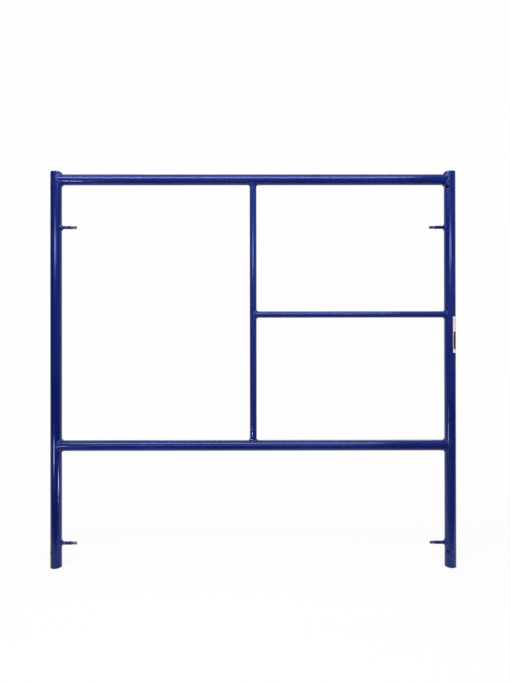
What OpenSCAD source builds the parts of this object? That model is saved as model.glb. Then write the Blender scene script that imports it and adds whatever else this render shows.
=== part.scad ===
// Welded tubular frame scaffold section, five feet square.
// Two posts carry two ledgers, an upright strut and a cross strut. Four brace studs stand on the
// inside of the posts, each ending in a riveted flip lock. Millimetres, +Z up, +X to the right seen
// from the front, origin on the ground midway between the posts.

/* [Frame] */
// Distance between the centrelines of the posts
frame_width = 1524; // [900:1:2200]
// Height of the posts
post_height = 1524; // [1420:1:2200]

/* [Tubes] */
// Outside diameter of the posts
post_d = 42.9; // [42:0.1:52]
// Wall thickness of the posts
post_wall = 2.4; // [1.5:0.1:4]
// Edge break on the cut ends of the posts
post_edge = 0.4; // [0.1:0.1:0.6]
// Outside diameter of the ledgers
ledger_d = 41.3; // [30:0.1:42.3]
// Wall thickness of the ledgers
ledger_wall = 2.1; // [1.2:0.1:4]
// Outside diameter of the upright strut
upright_d = 26.7; // [26:0.1:36]
// Wall thickness of the upright strut
upright_wall = 1.7; // [1:0.1:3]
// Outside diameter of the cross strut
cross_strut_d = 25.4; // [18:0.1:26.2]
// Wall thickness of the cross strut
cross_strut_wall = 1.7; // [1:0.1:3]

/* [Layout] */
// Depth of the top ledger's centreline below the post tops
top_ledger_drop = 29; // [28:0.5:32]
// Height of the bottom ledger's centreline
bottom_ledger_z = 467; // [200:1:800]
// Height of the cross strut's centreline
cross_strut_z = 973; // [600:1:1250]
// Offset of the upright strut from the middle of the frame, to the right
upright_x = 0; // [-300:1:300]

/* [Brace studs] */
// Diameter of the studs
stud_d = 12.7; // [12:0.1:16]
// Step from a stud up to its thicker foot, which the weld lies on
stud_foot_step = 0.6; // [0.2:0.1:3]
// Length of the foot past its weld
stud_foot_past_weld = 0.4; // [0.2:0.1:4]
// Reach of a stud with its lock in line, from the post's face to the nose
stud_reach = 58.5; // [50:0.5:80]
// Height of the lower studs
lower_stud_z = 91; // [86:1:300]
// Height of the upper studs above the lower ones
stud_spacing = 1219.2; // [900:0.1:1280]

/* [Flip locks] */
// Diameter of the lock's nose
nose_d = 11.2; // [9:0.1:12.4]
// Length of the lock's nose
nose_length = 13; // [9:0.5:18]
// Rounding of the tip of the nose
nose_round = 3; // [0.5:0.1:4.4]
// Width of the slot that the lock turns in
slot_width = 5; // [4:0.1:6]
// Clearance on each side of the lock's tang in its slot
tang_clearance = 0.3; // [0.2:0.05:0.5]
// Reach of the tang behind its pivot
tang_back = 5.6; // [4.6:0.1:6]
// Half of the tang's height
tang_half_height = 4; // [3.4:0.1:4.4]
// Gap between the tang and the floor of its slot
slot_floor_gap = 0.25; // [0.2:0.05:0.6]
// Gap between the nose's shoulder and the stud's round end
shoulder_gap = 0.3; // [0.2:0.05:0.6]
// Diameter of the rivet's shank
rivet_d = 4.5; // [3.6:0.1:5.2]
// Diameter of the rivet's heads
rivet_head_d = 6.8; // [6:0.1:7.2]
// Height of the rivet's heads
rivet_head_height = 1.1; // [0.6:0.1:1.2]
// Running clearance between the rivet and the tang
rivet_clearance = 0.05; // [0.02:0.01:0.1]
// Thickness of each ear beside the slot, measured at the milled flats
ear_thickness = 2.5; // [2.2:0.1:2.6]
// Length of the milled flats behind the pivot
flat_back = 7.5; // [6.5:0.5:12]

/* [Pin holes] */
// Diameter of the coupling pin holes
pin_hole_d = 12.7; // [8:0.1:14]
// Distance of each pin hole from the nearer end of its post
pin_hole_from_end = 60.3; // [58:0.1:64]
// Direction of the pin holes, turned from the frame's front towards its left
pin_hole_turn = 45; // [40:1:50]

/* [Welds] */
// Leg of the weld beads at the ledger ends
ledger_weld_leg = 6.5; // [4:0.1:7]
// Leg of the weld beads at the strut ends
strut_weld_leg = 5.2; // [3:0.1:7]
// Leg of the stud weld beads along the stud
stud_weld_leg = 4.5; // [3:0.1:8]
// Leg of the stud weld beads over the post
stud_weld_spread = 6.8; // [4:0.1:8]
// Height of a bead's cap where the two tubes run almost level
weld_cap = 2; // [1:0.1:3]
// Unevenness of the hand-laid beads, as a share of their legs
weld_unevenness = 0.07; // [0:0.01:0.12]

/* [Hidden] */
$fn = 96;

LEFT = -1;
RIGHT = 1;
paint = "midnightblue";
zinc = "slategray";

top_ledger_z = post_height - top_ledger_drop;
upper_stud_z = lower_stud_z + stud_spacing;
pin_hole_heights = [pin_hole_from_end, post_height - pin_hole_from_end];

// Distances along a stud, from the post's centreline
stud_r = stud_d / 2;
stud_foot_d = stud_d + 2 * stud_foot_step;
stud_foot_end = post_d / 2 + stud_weld_leg * (1 + weld_unevenness) + stud_foot_past_weld;
nose_tip = post_d / 2 + stud_reach;
nose_shoulder = nose_tip - nose_length;
pivot = nose_shoulder - shoulder_gap - stud_r;
slot_floor = pivot - tang_back - slot_floor_gap;
ear_face = slot_width / 2 + ear_thickness;
tang_thickness = slot_width - 2 * tang_clearance;
tang_root = nose_length / 4;

// Bead sections: points over the crown, and how far the bead's root and toes lie under the tubes
// before the tubes are cut out of it
crown_steps = 4;
bead_root = 1.5;
bead_sink = 0.5;
throat_share = 0.78;
// Sides of the cylinders that are cut out of a bead
bead_cut_sides = 360;

// How far a cutting shape runs past what it cuts
past = 10;

// Tubes

module at_post(side) {
    translate([side * frame_width / 2, 0, 0]) children();
}

module solid_post(side) {
    at_post(side) translate([0, 0, -past]) cylinder(d = post_d, h = post_height + 2 * past);
}

module solid_ledger(z) {
    translate([-frame_width / 2, 0, z]) rotate([0, 90, 0]) cylinder(d = ledger_d, h = frame_width);
}

module solid_upright() {
    translate([upright_x, 0, bottom_ledger_z]) cylinder(d = upright_d, h = top_ledger_z - bottom_ledger_z);
}

module solid_cross_strut() {
    translate([upright_x, 0, cross_strut_z])
        rotate([0, 90, 0]) cylinder(d = cross_strut_d, h = frame_width / 2 - upright_x);
}

// A tube along +Z with broken edges at both cut ends
module cut_tube(d, wall, length, edge) {
    outer = d / 2;
    inner = outer - wall;
    rotate_extrude() polygon([
        [inner + edge, 0], [outer - edge, 0], [outer, edge], [outer, length - edge],
        [outer - edge, length], [inner + edge, length], [inner, length - edge], [inner, edge]
    ]);
}

module pin_hole(z) {
    translate([0, 0, z]) rotate([90, 0, -pin_hole_turn])
        cylinder(d = pin_hole_d, h = post_d + past, center = true);
}

module post(side) {
    color(paint) at_post(side) difference() {
        cut_tube(post_d, post_wall, post_height, post_edge);
        for (z = pin_hole_heights) pin_hole(z);
    }
}

// A ledger is coped at both ends to sit on the posts
module ledger(z) {
    bore_d = ledger_d - 2 * ledger_wall;
    color(paint) difference() {
        solid_ledger(z);
        translate([-frame_width / 2 - past, 0, z])
            rotate([0, 90, 0]) cylinder(d = bore_d, h = frame_width + 2 * past);
        solid_post(LEFT);
        solid_post(RIGHT);
    }
}

// The upright strut is coped onto both ledgers
module upright_strut() {
    bore_d = upright_d - 2 * upright_wall;
    color(paint) difference() {
        solid_upright();
        translate([upright_x, 0, bottom_ledger_z - past])
            cylinder(d = bore_d, h = top_ledger_z - bottom_ledger_z + 2 * past);
        solid_ledger(bottom_ledger_z);
        solid_ledger(top_ledger_z);
    }
}

// The cross strut is coped onto the upright strut and the right post
module cross_strut() {
    bore_d = cross_strut_d - 2 * cross_strut_wall;
    color(paint) difference() {
        solid_cross_strut();
        translate([upright_x - past, 0, cross_strut_z])
            rotate([0, 90, 0]) cylinder(d = bore_d, h = frame_width / 2 - upright_x + 2 * past);
        solid_upright();
        solid_post(RIGHT);
    }
}

// Brace studs and their flip locks, drawn along +X from the post's centreline

module at_stud(side, z) {
    at_post(side) translate([0, 0, z]) rotate([0, 0, side == LEFT ? 0 : 180]) children();
}

module stud_bar() {
    rotate([0, 90, 0]) cylinder(d = stud_foot_d, h = stud_foot_end);
    rotate([0, 90, 0]) cylinder(d = stud_d, h = pivot);
    translate([pivot, 0, 0]) sphere(d = stud_d);
}

module stud_flats() {
    for (side = [-1, 1])
        translate([pivot - flat_back, side > 0 ? ear_face : -ear_face - stud_d, -stud_d])
            cube([flat_back + stud_d, stud_d, 2 * stud_d]);
}

module stud_slot() {
    translate([slot_floor, -slot_width / 2, -stud_d])
        cube([nose_tip - slot_floor, slot_width, 2 * stud_d]);
}

module rivet_shank(d, length) {
    translate([pivot, 0, 0]) rotate([90, 0, 0]) cylinder(d = d, h = length, center = true);
}

module stud(side, z) {
    color(paint) at_stud(side, z) difference() {
        stud_bar();
        translate([0, 0, -stud_d]) cylinder(d = post_d, h = 2 * stud_d);
        stud_flats();
        stud_slot();
        rivet_shank(rivet_d, stud_d);
    }
}

// The tang's square upper corner meets the slot's floor, so the lock only swings down
module tang_outline() {
    circle(r = tang_back);
    translate([-tang_back, 0]) square([tang_back, tang_half_height]);
    translate([0, -tang_half_height])
        square([nose_shoulder - pivot + tang_root, 2 * tang_half_height]);
}

// Half of the nose, cut along its axis
module nose_outline() {
    nose_r = nose_d / 2;
    intersection() {
        union() {
            square([nose_r, nose_length - nose_round]);
            square([nose_r - nose_round, nose_length]);
            translate([nose_r - nose_round, nose_length - nose_round]) circle(r = nose_round);
        }
        square([nose_r, nose_length]);
    }
}

module lock(side, z) {
    color(zinc) at_stud(side, z) difference() {
        union() {
            translate([pivot, tang_thickness / 2, 0]) rotate([90, 0, 0])
                linear_extrude(tang_thickness) tang_outline();
            translate([nose_shoulder, 0, 0]) rotate([0, 90, 0]) rotate_extrude() nose_outline();
        }
        rivet_shank(rivet_d + 2 * rivet_clearance, stud_d);
    }
}

// A rivet head is a cap of a ball that passes through the head's rim and its top
module rivet_head() {
    rim = rivet_head_d / 2;
    ball = (rim * rim + rivet_head_height * rivet_head_height) / (2 * rivet_head_height);
    rotate_extrude() intersection() {
        translate([0, rivet_head_height - ball]) circle(r = ball);
        square([rim, rivet_head_height]);
    }
}

module rivet(side, z) {
    color(zinc) at_stud(side, z) {
        rivet_shank(rivet_d, 2 * ear_face);
        for (turn = [90, -90])
            translate([pivot, turn > 0 ? -ear_face : ear_face, 0]) rotate([turn, 0, 0]) rivet_head();
    }
}

// Weld beads, drawn round a branch tube along +X that stands on a run tube along Z

function unit(v) = v / norm(v);

function uneven(t, shift) =
    1 + weld_unevenness * (0.6 * sin(3 * t + shift) + 0.4 * sin(7 * t + 2 * shift));

// One section of a bead at angle t round the branch, from the branch's toe over the crown to the
// run's toe, then the root
function bead_section(branch_r, run_r, branch_leg, run_leg, t, shift) =
    let (
        leg_a = branch_leg * uneven(t, shift),
        leg_b = run_leg * uneven(t, shift + 90),
        azimuth = asin(branch_r * cos(t) / run_r),
        root = [run_r * cos(azimuth), branch_r * cos(t), branch_r * sin(t)],
        branch_normal = [0, cos(t), sin(t)],
        run_normal = [cos(azimuth), sin(azimuth), 0],
        outward = unit(branch_normal + run_normal),
        level = branch_normal * run_normal,
        toe_azimuth = azimuth + leg_b * cos(t) / run_r * 180 / PI,
        sunk_r = run_r - bead_sink,
        branch_toe = root + [leg_a, 0, 0] - bead_sink * branch_normal,
        run_toe = [sunk_r * cos(toe_azimuth), sunk_r * sin(toe_azimuth), (branch_r + leg_b) * sin(t)],
        throat = throat_share * (leg_a + leg_b) / 2,
        crown = root + outward * (throat * (1 - level) + weld_cap * level),
        control = 2 * crown - (branch_toe + run_toe) / 2
    )
    concat(
        [for (i = [0 : crown_steps]) let (s = i / crown_steps)
            (1 - s) * (1 - s) * branch_toe + 2 * s * (1 - s) * control + s * s * run_toe],
        [root - bead_root * outward]
    );

module bead_ring(branch_r, run_r, branch_leg, run_leg, stations, shift) {
    around = crown_steps + 2;
    sections = [for (k = [0 : stations - 1])
        bead_section(branch_r, run_r, branch_leg, run_leg, 360 * k / stations, shift)];
    points = [for (section = sections) each section];
    faces = [for (k = [0 : stations - 1], i = [0 : around - 1])
        let (
            a = k * around + i,
            b = k * around + (i + 1) % around,
            c = ((k + 1) % stations) * around + (i + 1) % around,
            d = ((k + 1) % stations) * around + i
        )
        each [[a, c, b], [a, d, c]]];
    polyhedron(points, faces);
}

// The two tubes are cut out of the bead, so that it lies on both of them
module weld_bead(branch_d, run_d, branch_leg, run_leg, stations, shift) {
    reach = run_d / 2 + branch_leg + past;
    rise = branch_d + 2 * run_leg + past;
    color(paint) difference() {
        bead_ring(branch_d / 2, run_d / 2, branch_leg, run_leg, stations, shift);
        rotate([0, 90, 0]) cylinder(d = branch_d, h = reach, $fn = bead_cut_sides);
        translate([0, 0, -rise / 2]) cylinder(d = run_d, h = rise, $fn = bead_cut_sides);
    }
}

module ledger_weld(side, z, shift) {
    at_post(side) translate([0, 0, z]) rotate([0, 0, side == LEFT ? 0 : 180])
        weld_bead(ledger_d, post_d, ledger_weld_leg, ledger_weld_leg, 40, shift);
}

module upright_weld(z, turn, shift) {
    translate([upright_x, 0, z]) rotate([0, turn, 0])
        weld_bead(upright_d, ledger_d, strut_weld_leg, strut_weld_leg, 30, shift);
}

module cross_strut_inner_weld() {
    translate([upright_x, 0, cross_strut_z])
        weld_bead(cross_strut_d, upright_d, strut_weld_leg, strut_weld_leg, 32, 200);
}

module cross_strut_outer_weld() {
    at_post(RIGHT) translate([0, 0, cross_strut_z]) rotate([0, 0, 180])
        weld_bead(cross_strut_d, post_d, strut_weld_leg, strut_weld_leg, 30, 310);
}

module stud_weld(side, z, shift) {
    at_stud(side, z) weld_bead(stud_foot_d, post_d, stud_weld_leg, stud_weld_spread, 24, shift);
}

post(LEFT);  // left_post
post(RIGHT);  // right_post
ledger(top_ledger_z);  // top_ledger
ledger(bottom_ledger_z);  // bottom_ledger
upright_strut();
cross_strut();

stud(LEFT, upper_stud_z);  // stud_upper_left
stud(LEFT, lower_stud_z);  // stud_lower_left
stud(RIGHT, upper_stud_z);  // stud_upper_right
stud(RIGHT, lower_stud_z);  // stud_lower_right

lock(LEFT, upper_stud_z);  // lock_upper_left
lock(LEFT, lower_stud_z);  // lock_lower_left
lock(RIGHT, upper_stud_z);  // lock_upper_right
lock(RIGHT, lower_stud_z);  // lock_lower_right

rivet(LEFT, upper_stud_z);  // rivet_upper_left
rivet(LEFT, lower_stud_z);  // rivet_lower_left
rivet(RIGHT, upper_stud_z);  // rivet_upper_right
rivet(RIGHT, lower_stud_z);  // rivet_lower_right

ledger_weld(LEFT, top_ledger_z, 0);  // weld_top_ledger_left
ledger_weld(RIGHT, top_ledger_z, 75);  // weld_top_ledger_right
ledger_weld(LEFT, bottom_ledger_z, 130);  // weld_bottom_ledger_left
ledger_weld(RIGHT, bottom_ledger_z, 220);  // weld_bottom_ledger_right
upright_weld(top_ledger_z, 90, 40);  // weld_upright_top
upright_weld(bottom_ledger_z, -90, 165);  // weld_upright_bottom
cross_strut_inner_weld();  // weld_cross_strut_inner
cross_strut_outer_weld();  // weld_cross_strut_outer
stud_weld(LEFT, upper_stud_z, 20);  // weld_stud_upper_left
stud_weld(LEFT, lower_stud_z, 110);  // weld_stud_lower_left
stud_weld(RIGHT, upper_stud_z, 190);  // weld_stud_upper_right
stud_weld(RIGHT, lower_stud_z, 280);  // weld_stud_lower_right
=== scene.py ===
"""Looks of a frame scaffold section: enamelled tubes, weld beads, flip locks, a blank label and the stage.

The file is laid out as a Blender add-on and is run as a script. Lengths are in metres, in the frame of the
CAD model: +X to the right seen from the front, +Z up, origin on the ground midway between the posts.
"""

import math
import random

import bpy
from bpy.props import FloatProperty, FloatVectorProperty, IntProperty, PointerProperty
from mathutils import Matrix, Vector


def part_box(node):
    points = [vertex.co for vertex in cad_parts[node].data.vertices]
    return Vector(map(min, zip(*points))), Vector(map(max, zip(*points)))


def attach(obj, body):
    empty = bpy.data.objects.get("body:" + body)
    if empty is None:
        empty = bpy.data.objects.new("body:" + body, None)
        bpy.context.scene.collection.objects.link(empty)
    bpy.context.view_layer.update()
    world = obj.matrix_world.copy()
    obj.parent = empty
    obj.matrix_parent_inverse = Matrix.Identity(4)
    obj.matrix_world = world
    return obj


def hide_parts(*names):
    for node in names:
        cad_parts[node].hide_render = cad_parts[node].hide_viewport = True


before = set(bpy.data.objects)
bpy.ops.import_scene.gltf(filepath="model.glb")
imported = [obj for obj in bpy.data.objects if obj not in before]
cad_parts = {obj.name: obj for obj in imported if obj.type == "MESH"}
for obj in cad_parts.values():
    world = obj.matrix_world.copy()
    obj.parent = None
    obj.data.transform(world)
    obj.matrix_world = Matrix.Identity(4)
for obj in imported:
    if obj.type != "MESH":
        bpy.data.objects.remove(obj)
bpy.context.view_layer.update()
POST_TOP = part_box("left_post")[1].z

bl_info = {
    "name": "Scaffold frame looks",
    "version": (1, 0, 0),
    "blender": (4, 5, 0),
    "location": "View3D > Sidebar > Scaffold",
    "description": "Builds the visible pieces of a frame scaffold section round its CAD model",
    "category": "Object",
}

BODY = "frame"
PAINT_SLOT = "blue_enamel"
SIDES = ("left", "right")
CORNERS = ("upper_left", "upper_right", "lower_left", "lower_right")

# Quads round each kind of tube
AROUND_POST = 128
AROUND_LEDGER = 128
AROUND_STRUT = 96
# Quads along each kind of tube, on a post between the patches round its pin holes
POST_SPANS = 14
LEDGER_SPANS = 16
UPRIGHT_SPANS = 12
CROSS_SPANS = 8
# Half the rows and columns of the patch of quads round a pin hole, and half its height in hole diameters
PATCH_ROWS = 8
PATCH_COLUMNS = 10
PATCH_REACH = 0.8
# Shares of the way to the patch's border at which its rings of quads lie
PATCH_SHARES = (0.66, 0.34, 0.1)
# Columns of a post where its pin holes come through, at 45 and 225 degrees
HOLE_COLUMNS = (AROUND_POST // 8, AROUND_POST * 5 // 8)
# Widths and length of a scratch in the enamel, and how the scratches are turned
SCRATCH = (0.0006, 0.0006, 0.024)
SCRATCH_TURNS = ((0.3, 0.5, 0.2), (-0.9, 0.35, 1.1), (1.35, -0.25, 0.6), (0.75, -0.6, 2.2))
# How far chips reach from a post's foot, from its top and from the edges of its pin holes
FOOT_RUB = 0.006
TOP_RUB = 0.004
HOLE_RUB = 0.003
# How far overspray reaches into the ends of a tube, and how far it covers the steel
MIST_REACH = 0.05
MIST_FULL = 0.004
# The UV map that a tube's wall is unrolled on, its empty border, and the scale of the hidden inside on it
BAKE_MAP = "OFBake"
MAP_MARGIN = 0.012
INSIDE_SHARE = 0.3
# Edges that turn by more than this are drawn sharp
SHARP_TURN = math.radians(50)
# A bead's toes and root lie this far under the surfaces of the two tubes that it joins
BEAD_SINK = 0.0005
BEAD_ROOT = 0.0015
# A bead's throat as a share of its legs, and the steps across it and along each of its ripples
BEAD_THROAT = 0.78
CROWN_STEPS = 12
RIPPLE_STEPS = 7
# How far a ripple's ends run ahead of its middle, in pitches, and how sharp the valleys between ripples are
RIPPLE_BOW = 0.55
VALLEY_SHARPNESS = 1.6
# Where a bead was stopped, and the width of the dip there, in radians round its branch
BEAD_STOPS = (0.7, 0.9 + math.pi)
CRATER_WIDTH = 0.13
# A spatter drop's corners, its lift and reach from base to top, and its height, in shares of its radius
DROP_CORNERS = 10
DROP_PROFILE = ((-0.5, 0.85), (0.05, 1.0), (0.5, 0.82), (0.78, 0.45))
DROP_HEIGHT = 0.8
# The smallest drop as a share of the largest, a drop's least distance from its bead, and the most beyond it
DROP_SMALLEST = 0.35
DROP_NEAR = 0.0015
DROP_SCATTER = 0.016
# Spatter drops keep this far below the tops of the posts
DROP_MARGIN = 0.003


# Values that a user may change


def size(name, description, default):
    """A length."""
    return FloatProperty(
        name=name, description=description, default=default, min=0.0, precision=5, unit="LENGTH"
    )


def tint(name, description, default):
    """A colour."""
    return FloatVectorProperty(
        name=name, description=description, default=default, size=3, min=0.0, max=1.0, subtype="COLOR"
    )


def portion(name, description, default):
    """A share from 0 to 1."""
    return FloatProperty(
        name=name, description=description, default=default, min=0.0, max=1.0, subtype="FACTOR"
    )


def span(name, description, default):
    """The two ends of a part, as shares of the whole."""
    return FloatVectorProperty(
        name=name, description=description, default=default, size=2, min=0.0, max=1.0
    )


def level(name, description, default):
    """A brightness."""
    return FloatProperty(name=name, description=description, default=default, min=0.0)


class TubeSizes(bpy.types.PropertyGroup):
    """Sizes of the tubes and where they stand."""

    frame_width: size("Frame width", "Distance between the centrelines of the posts", 1.524)
    post_height: size("Post height", "Height of the posts", POST_TOP)
    post_d: size("Post diameter", "Outside diameter of the posts", 0.0429)
    post_wall: size("Post wall", "Wall thickness of the posts", 0.0024)
    post_edge: size("Post edge", "Rounding of the cut ends and pin holes of the posts", 0.0004)
    ledger_d: size("Ledger diameter", "Outside diameter of the ledgers", 0.0413)
    ledger_wall: size("Ledger wall", "Wall thickness of the ledgers", 0.0021)
    upright_d: size("Upright strut diameter", "Outside diameter of the upright strut", 0.0267)
    cross_strut_d: size("Cross strut diameter", "Outside diameter of the cross strut", 0.0254)
    strut_wall: size("Strut wall", "Wall thickness of both struts", 0.0017)
    top_ledger_drop: size("Top ledger drop", "Depth of the top ledger below the post tops", 0.029)
    bottom_ledger_z: size("Bottom ledger height", "Height of the bottom ledger's centreline", 0.467)
    cross_strut_z: size("Cross strut height", "Height of the cross strut's centreline", 0.973)
    lower_stud_z: size("Lower stud height", "Height of the lower brace studs", 0.091)
    stud_spacing: size("Stud spacing", "Height of the upper studs above the lower ones", 1.2192)
    stud_d: size("Stud diameter", "Diameter of a brace stud", 0.0127)
    stud_foot_d: size("Stud foot diameter", "Diameter of the foot that a stud's weld lies on", 0.0139)
    pin_hole_d: size("Pin hole diameter", "Diameter of the coupling pin holes", 0.0127)
    pin_hole_from_end: size("Pin hole depth", "Distance of a pin hole from its post's end", 0.0603)


class WeldSizes(bpy.types.PropertyGroup):
    """Sizes of the weld beads, their ripples and the drops beside them."""

    ledger_leg: size("Ledger leg", "Leg of the beads at the ledger ends", 0.0065)
    strut_leg: size("Strut leg", "Leg of the beads at the strut ends", 0.0052)
    stud_leg: size("Stud leg", "Leg of the stud beads along the stud", 0.0045)
    stud_spread: size("Stud spread", "Leg of the stud beads over the post", 0.0068)
    cap: size("Cap", "Height of a bead where its two tubes run almost level", 0.002)
    unevenness: portion("Unevenness", "Unevenness of the hand-laid beads, as a share of a leg", 0.07)
    ripple_pitch: size("Ripple pitch", "Distance between the ripples of a bead", 0.0023)
    ripple_depth: size("Ripple depth", "Depth of the valleys between the ripples", 0.0004)
    crater_depth: size("Crater depth", "Depth of the dip where a bead was stopped", 0.0007)
    drops: IntProperty(name="Drops", description="Spatter drops beside each bead", default=7, min=0)
    drop_r: size("Drop radius", "Radius of the largest spatter drop", 0.0008)


class PaintLook(bpy.types.PropertyGroup):
    """Colours and surface of the blue enamel."""

    deep_blue: tint("Deep blue", "Enamel where the film is thick", (0.0035, 0.009, 0.105))
    bright_blue: tint("Bright blue", "Enamel where the film is thin", (0.0135, 0.022, 0.158))
    dust: tint("Dust", "Dust on the upper sides", (0.2, 0.2, 0.24))
    primer: tint("Primer", "Scuffed enamel", (0.035, 0.05, 0.17))
    steel: tint("Steel", "Bare steel in chips", (0.16, 0.155, 0.15))
    gloss: tint("Gloss", "Tint of the enamel's reflections", (0.44, 0.55, 1.0))
    roughness: portion("Roughness", "Roughness of clean enamel", 0.13)
    peel: size("Peel", "Depth of the orange peel in the enamel", 0.00002)
    thickness: size("Thickness", "Thickness of the enamel, which shows at the edges of chips", 0.00008)


class MetalLook(bpy.types.PropertyGroup):
    """Colours of the plated locks, of the bare insides of the tubes, and of the painted shade in the pin
    holes.
    """

    zinc_pale: tint("Pale zinc", "Pale patches of the plating", (0.17, 0.165, 0.225))
    zinc_dark: tint("Dark zinc", "Dark patches of the plating", (0.07, 0.065, 0.1))
    nick: tint("Nick", "Small bright nicks in the plating", (0.4, 0.4, 0.5))
    # Dark grime in the plating, and also the near-black painted shade on the walls of the pin holes
    grime_and_hole_shade: tint("Grime", "Grime in the plating", (0.014, 0.013, 0.017))
    scale: tint("Mill scale", "Bare inside of the tubes", (0.07, 0.068, 0.07))
    rust: tint("Rust", "Rust inside the tubes", (0.13, 0.05, 0.022))
    roughness: portion("Roughness", "Roughness of clean plating", 0.34)


class LabelLook(bpy.types.PropertyGroup):
    """Size, place and colours of the blank label on the right post."""

    bottom: size("Bottom", "Height of the label's lower edge", 0.824)
    top: size("Top", "Height of the label's upper edge", 0.964)
    thickness: size("Thickness", "Thickness of the label", 0.00015)
    corner: size("Corner", "Rounding of the label's corners", 0.002)
    from_front: FloatVectorProperty(
        name="Reach",
        description="First and last edge of the label, turned from the frame's front to its right",
        default=(math.radians(8), math.radians(50)),
        size=2,
        subtype="EULER",
        unit="ROTATION",
    )
    border_width: portion("Border width", "Border along the first edge, as a share of the width", 0.16)
    panel_across: span("Panel across", "Sides of the panel, as shares of the width", (0.225, 0.96))
    panel_up: span("Panel up", "Bottom and top of the panel, as shares of the height", (0.0975, 0.5825))
    paper: tint("Paper", "Ground of the label", (0.96, 0.91, 0.86))
    faded_paper: tint("Faded paper", "Ground of the label where it has faded", (0.6, 0.52, 0.45))
    scratch: tint("Scratch", "Scratches in the label", (0.7, 0.68, 0.66))
    border: tint("Border", "Border of the label", (0.66, 0.25, 0.19))
    panel: tint("Panel", "Plain dark panel of the label", (0.016, 0.009, 0.007))


class StageLook(bpy.types.PropertyGroup):
    """The camera, the lamps and the white sweep."""

    camera_place: FloatVectorProperty(
        name="Camera place",
        description="Where the camera stands",
        default=(0.003, -1.9083, 0.8634),
        subtype="TRANSLATION",
        unit="LENGTH",
    )
    camera_turn: FloatVectorProperty(
        name="Camera turn",
        description="How the camera is turned",
        default=(math.radians(90.154), math.radians(0.074), math.radians(-0.118)),
        subtype="EULER",
        unit="ROTATION",
    )
    lens: FloatProperty(
        name="Lens", description="Focal length for a long side of 36 mm", default=25.986, unit="CAMERA"
    )
    paper_white: portion("Paper white", "Colour of the floor and backdrop", 0.86)
    clear_paper: portion("Clear paper", "Share of plain white in the paper away from the frame", 0.985)
    clear_floor: portion("Clear floor", "Share of plain white near the frame, which pales its shadow", 0.88)
    shadow_core: size("Shadow core", "Depth of the floor beside the frame that keeps its shadow", 0.3)
    shadow_reach: size("Shadow reach", "Depth of the floor beside the frame where its shadow ends", 1.2)
    dim_start: size("Dim start", "Distance in front of the frame where the dim room begins", 0.1)
    dim_full: size("Dim full", "Distance in front of the frame where the room is quite dim", 0.35)
    room_front: level("Room in front", "Brightness of the room in front of the frame", 0.025)
    room_back: level("Room behind", "Brightness of the room behind the frame", 0.72)
    room_right: level("Room on the right", "Brightness of the room beside the right post", 0.28)
    ceiling: level("Ceiling", "Brightness of the room overhead", 0.64)


# Shader nodes


class Socket:
    """An output of a shader node. An expression of sockets and numbers adds its Math nodes."""

    def __init__(self, finish, output):
        self.finish = finish
        self.output = output

    def math(self, operation, *values):
        """A Math node on these values."""
        return self.finish.node("ShaderNodeMath", {"operation": operation}, dict(enumerate(values)))

    def __add__(self, other):
        return self.math("ADD", self, other)

    def __radd__(self, other):
        return self.math("ADD", other, self)

    def __sub__(self, other):
        return self.math("SUBTRACT", self, other)

    def __rsub__(self, other):
        return self.math("SUBTRACT", other, self)

    def __mul__(self, other):
        return self.math("MULTIPLY", self, other)

    def __rmul__(self, other):
        return self.math("MULTIPLY", other, self)

    def __truediv__(self, other):
        return self.math("DIVIDE", self, other)

    def __rtruediv__(self, other):
        return self.math("DIVIDE", other, self)

    def __abs__(self):
        return self.math("ABSOLUTE", self)

    def rise(self, low, high):
        """0 below low, 1 above high, and a smooth step between them. It falls if high is below low."""
        if low > high:
            return 1 - self.rise(high, low)
        settings = {"interpolation_type": "SMOOTHSTEP"}
        sockets = {"Value": self, "From Min": low, "From Max": high}
        return self.finish.node("ShaderNodeMapRange", settings, sockets)

    def within(self, ends, soft):
        """1 between two ends and 0 beyond them, with edges that are soft to both sides."""
        low, high = ends
        return self.rise(low - soft, low + soft) * self.rise(high + soft, high - soft)


class Finish:
    """A material or world with an empty node tree, and the ways to fill it."""

    def __init__(self, owner):
        owner.use_nodes = True
        owner.node_tree.nodes.clear()
        self.owner = owner
        self.tree = owner.node_tree

    def node(self, kind, settings=None, sockets=None, output=0):
        """Adds a node: its settings first, then the values or links of its sockets. Returns one output."""
        made = self.tree.nodes.new(kind)
        for setting, value in (settings or {}).items():
            setattr(made, setting, value)
        for key, value in (sockets or {}).items():
            if isinstance(value, Socket):
                self.tree.links.new(value.output, made.inputs[key])
            else:
                made.inputs[key].default_value = value
        if made.outputs:
            return Socket(self, made.outputs[output])
        return None

    def place(self):
        """Where a point lies on its piece, in metres."""
        return self.node("ShaderNodeTexCoord", output="Object")

    def along(self, vector, axis):
        """One component of a vector."""
        return self.node("ShaderNodeSeparateXYZ", None, {0: vector}, axis)

    def stretch(self, vector, factors):
        """A vector with each component times its own factor."""
        return self.node("ShaderNodeVectorMath", {"operation": "MULTIPLY"}, {0: vector, 1: factors})

    def noise(self, vector, scale, detail=3.0, roughness=0.5):
        """Cloudy noise from 0 to 1."""
        sockets = {"Vector": vector, "Scale": scale, "Detail": detail, "Roughness": roughness}
        return self.node("ShaderNodeTexNoise", None, sockets, "Fac")

    def mix(self, share, first, second):
        """A colour between two others."""
        sockets = {0: share, 6: opaque(first), 7: opaque(second)}
        return self.node("ShaderNodeMix", {"data_type": "RGBA"}, sockets, 2)

    def bump(self, height, distance, normal=None):
        """A normal that follows a height of 0 to 1 times a distance, on top of another normal if given."""
        sockets = {"Height": height, "Distance": distance}
        if normal is not None:
            sockets["Normal"] = normal
        return self.node("ShaderNodeBump", None, sockets)

    def surface(self, sockets):
        """Ends the material in a Principled shader and returns the material."""
        shader = self.node("ShaderNodeBsdfPrincipled", None, sockets)
        self.node("ShaderNodeOutputMaterial", None, {"Surface": shader})
        return self.owner


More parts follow.
